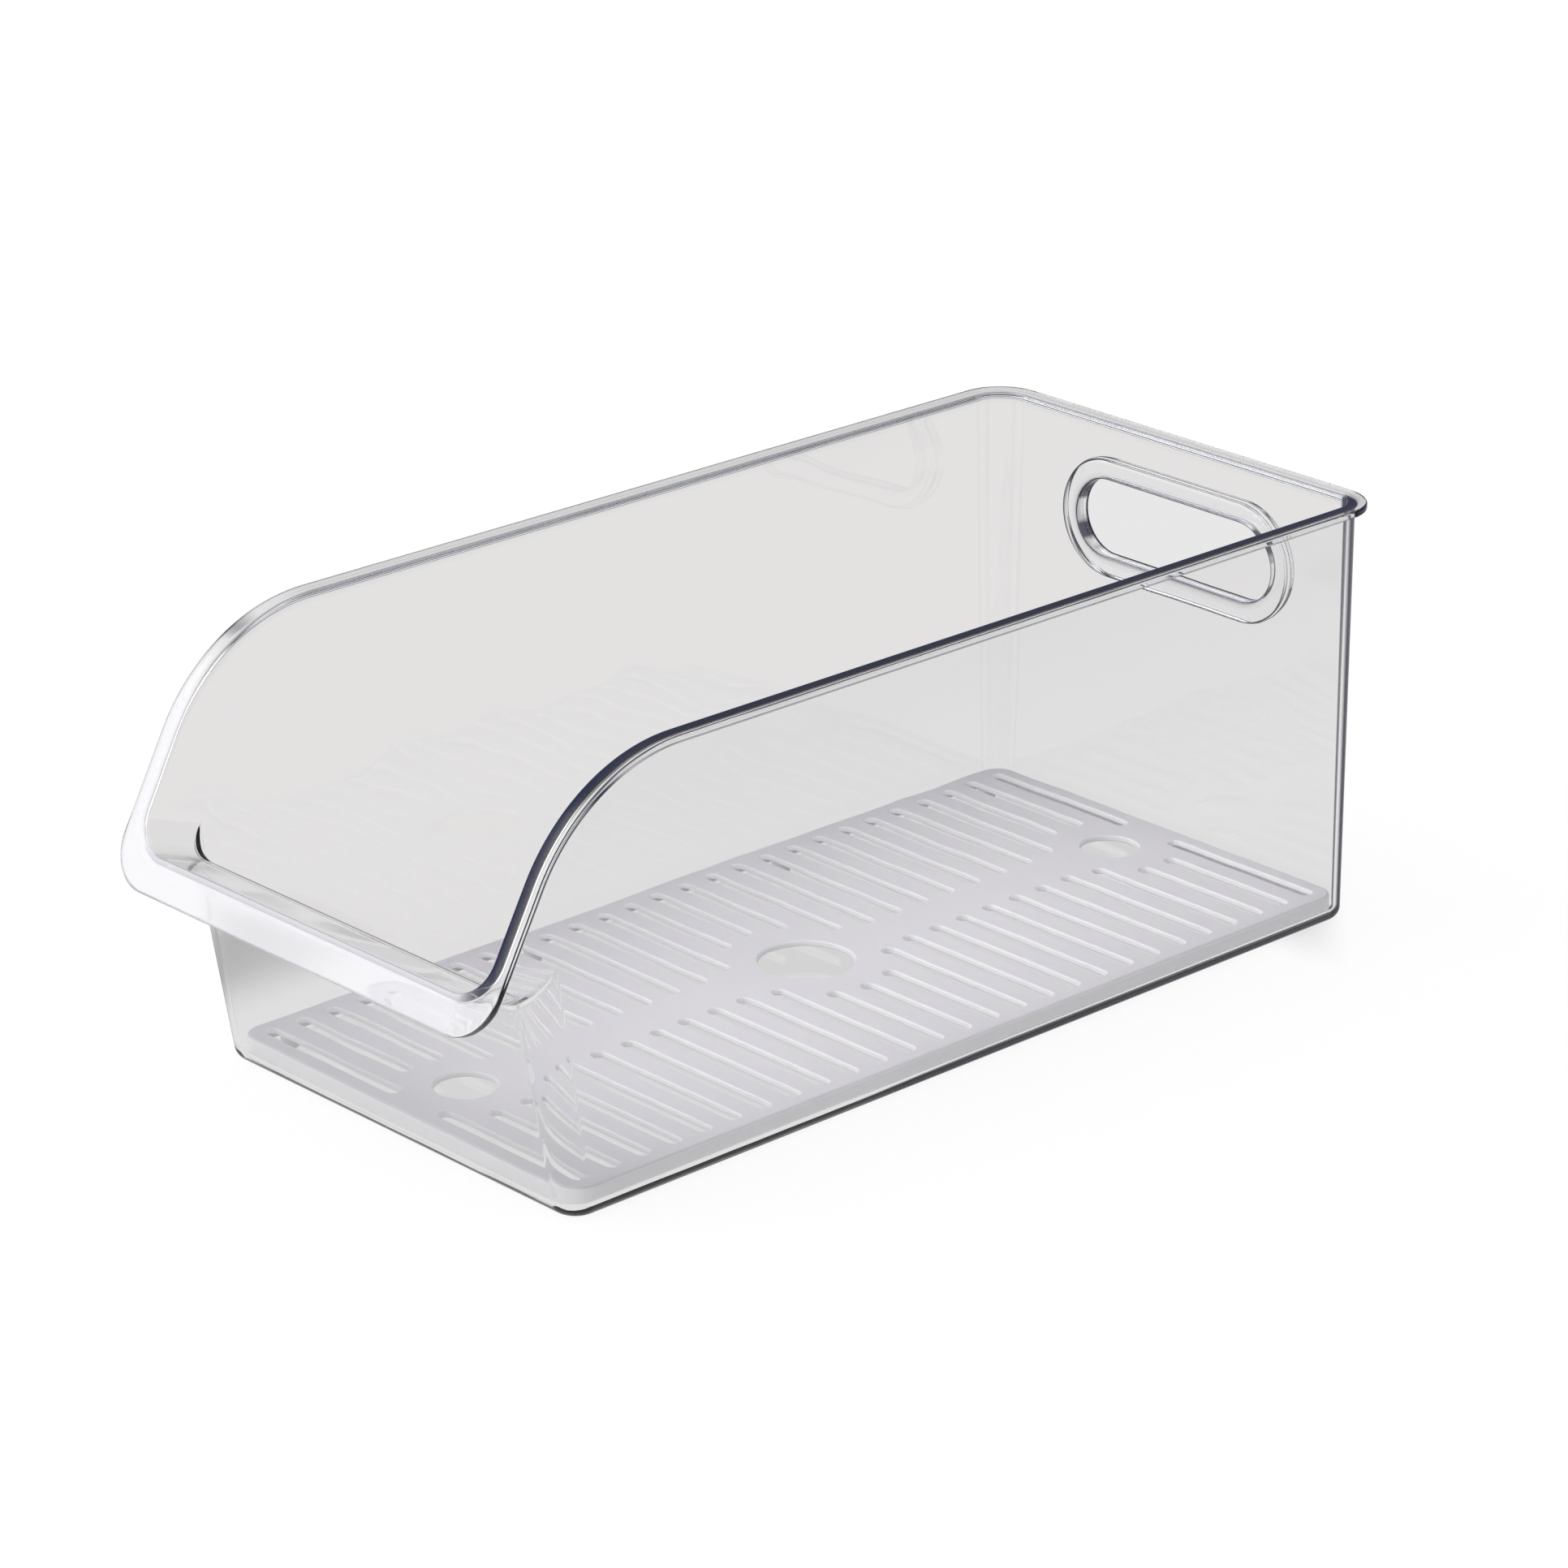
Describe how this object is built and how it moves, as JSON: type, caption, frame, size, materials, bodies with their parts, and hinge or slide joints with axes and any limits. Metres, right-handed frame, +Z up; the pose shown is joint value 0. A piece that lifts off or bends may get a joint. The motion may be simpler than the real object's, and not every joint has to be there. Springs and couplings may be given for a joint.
{
  "type": "fridge drawer organizer",
  "caption": "Clear open fridge bin with a scooped front, a pull lip, a rear grip hole and a slotted drain tray that lifts out.",
  "frame": {"origin": "on the resting plane, under the middle of the overall length and width", "axes": "+X across the width, +Y along the length towards the rear wall, +Z up; the pull lip faces -Y"},
  "size_m": [0.145, 0.317, 0.12],
  "materials": {
    "clear_plastic": "clear and glossy, with a faint blue tint",
    "frosted_plastic": "frosted, pale grey, slightly translucent"
  },
  "bodies": {
    "bin": {"bin": "clear_plastic"},
    "drain_tray": {"drain_tray": "frosted_plastic"}
  },
  "joints": [
    {"name": "tray_lift", "type": "slide", "parent": "bin", "child": "drain_tray", "axis": [0, 0, 1], "range_m": [0, 0.14]}
  ]
}
